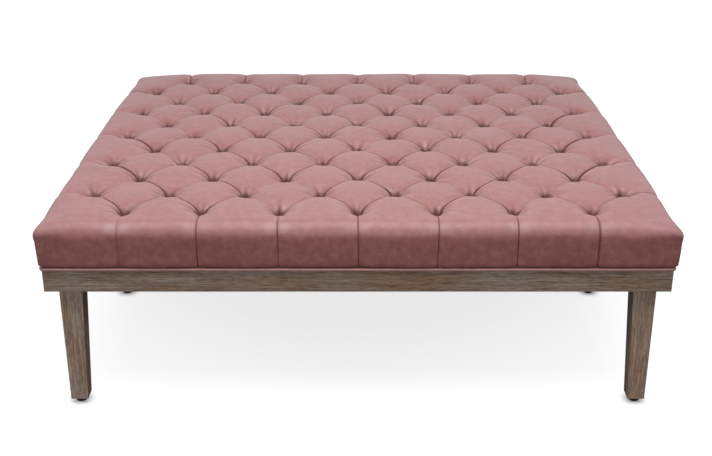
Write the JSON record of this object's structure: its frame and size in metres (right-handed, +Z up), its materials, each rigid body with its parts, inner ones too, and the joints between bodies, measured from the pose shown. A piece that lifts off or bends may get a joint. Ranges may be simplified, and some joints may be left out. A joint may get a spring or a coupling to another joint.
{
  "type": "ottoman coffee table",
  "caption": "Rectangular coffee table ottoman: diamond-tufted leather cushion with welt on a wood rail frame, tapered square legs and screw-in levelling glides.",
  "frame": {"origin": "on the floor under the middle of the table", "axes": "+X to the right along the width, front along -Y, +Z up"},
  "size_m": [1.372, 1.219, 0.463],
  "materials": {
    "rose_leather": "satin",
    "white_fibre": "matte",
    "foam": "matte",
    "plywood": "matte",
    "twine": "matte",
    "zinc_steel": "satin",
    "black_cambric": "matte",
    "beech": "matte",
    "weathered_wood": "satin",
    "pine": "matte",
    "black_nylon": "matte"
  },
  "bodies": {
    "table": {"tufted_cover": "rose_leather", "welt": "rose_leather", "fibre_wadding": "white_fibre", "foam_core": "foam", "plywood_deck": "plywood", "tuft_twines": "twine", "tuft_washers": "zinc_steel", "cover_staples": "zinc_steel", "dust_cover_staples": "zinc_steel", "deck_screws": "zinc_steel", "block_screws": "zinc_steel", "leg_bolts": "zinc_steel", "tee_nuts": "zinc_steel", "leg_inserts": "zinc_steel", "dust_cover": "black_cambric", "mitre_splines": "plywood", "frame_dowels": "beech", "leg_dowels": "beech", "front_rail": "weathered_wood", "back_rail": "weathered_wood", "left_rail": "weathered_wood", "right_rail": "weathered_wood", "cross_rail_front": "pine", "deck_bearer_front_left": "pine", "deck_bearer_front_right": "pine", "cross_rail_back": "pine", "deck_bearer_back_left": "pine", "deck_bearer_back_right": "pine", "corner_block_front_left": "beech", "corner_block_front_right": "beech", "corner_block_back_left": "beech", "corner_block_back_right": "beech", "leg_block_middle_left": "beech", "leg_block_middle_right": "beech", "leg_front_left": "weathered_wood", "leg_front_right": "weathered_wood", "leg_back_left": "weathered_wood", "leg_back_right": "weathered_wood", "leg_middle_left": "weathered_wood", "leg_middle_right": "weathered_wood"},
    "leveller_front_left": {"glide_front_left": "black_nylon", "stem_front_left": "zinc_steel"},
    "leveller_front_right": {"glide_front_right": "black_nylon", "stem_front_right": "zinc_steel"},
    "leveller_back_left": {"glide_back_left": "black_nylon", "stem_back_left": "zinc_steel"},
    "leveller_back_right": {"glide_back_right": "black_nylon", "stem_back_right": "zinc_steel"},
    "leveller_middle_left": {"glide_middle_left": "black_nylon", "stem_middle_left": "zinc_steel"},
    "leveller_middle_right": {"glide_middle_right": "black_nylon", "stem_middle_right": "zinc_steel"}
  },
  "joints": [
    {"name": "front_left_levelling", "type": "slide", "parent": "table", "child": "leveller_front_left", "axis": [0, 0, -1], "range_m": [0, 0.012]},
    {"name": "front_right_levelling", "type": "slide", "parent": "table", "child": "leveller_front_right", "axis": [0, 0, -1], "range_m": [0, 0.012]},
    {"name": "back_left_levelling", "type": "slide", "parent": "table", "child": "leveller_back_left", "axis": [0, 0, -1], "range_m": [0, 0.012]},
    {"name": "back_right_levelling", "type": "slide", "parent": "table", "child": "leveller_back_right", "axis": [0, 0, -1], "range_m": [0, 0.012]},
    {"name": "middle_left_levelling", "type": "slide", "parent": "table", "child": "leveller_middle_left", "axis": [0, 0, -1], "range_m": [0, 0.012]},
    {"name": "middle_right_levelling", "type": "slide", "parent": "table", "child": "leveller_middle_right", "axis": [0, 0, -1], "range_m": [0, 0.012]}
  ]
}
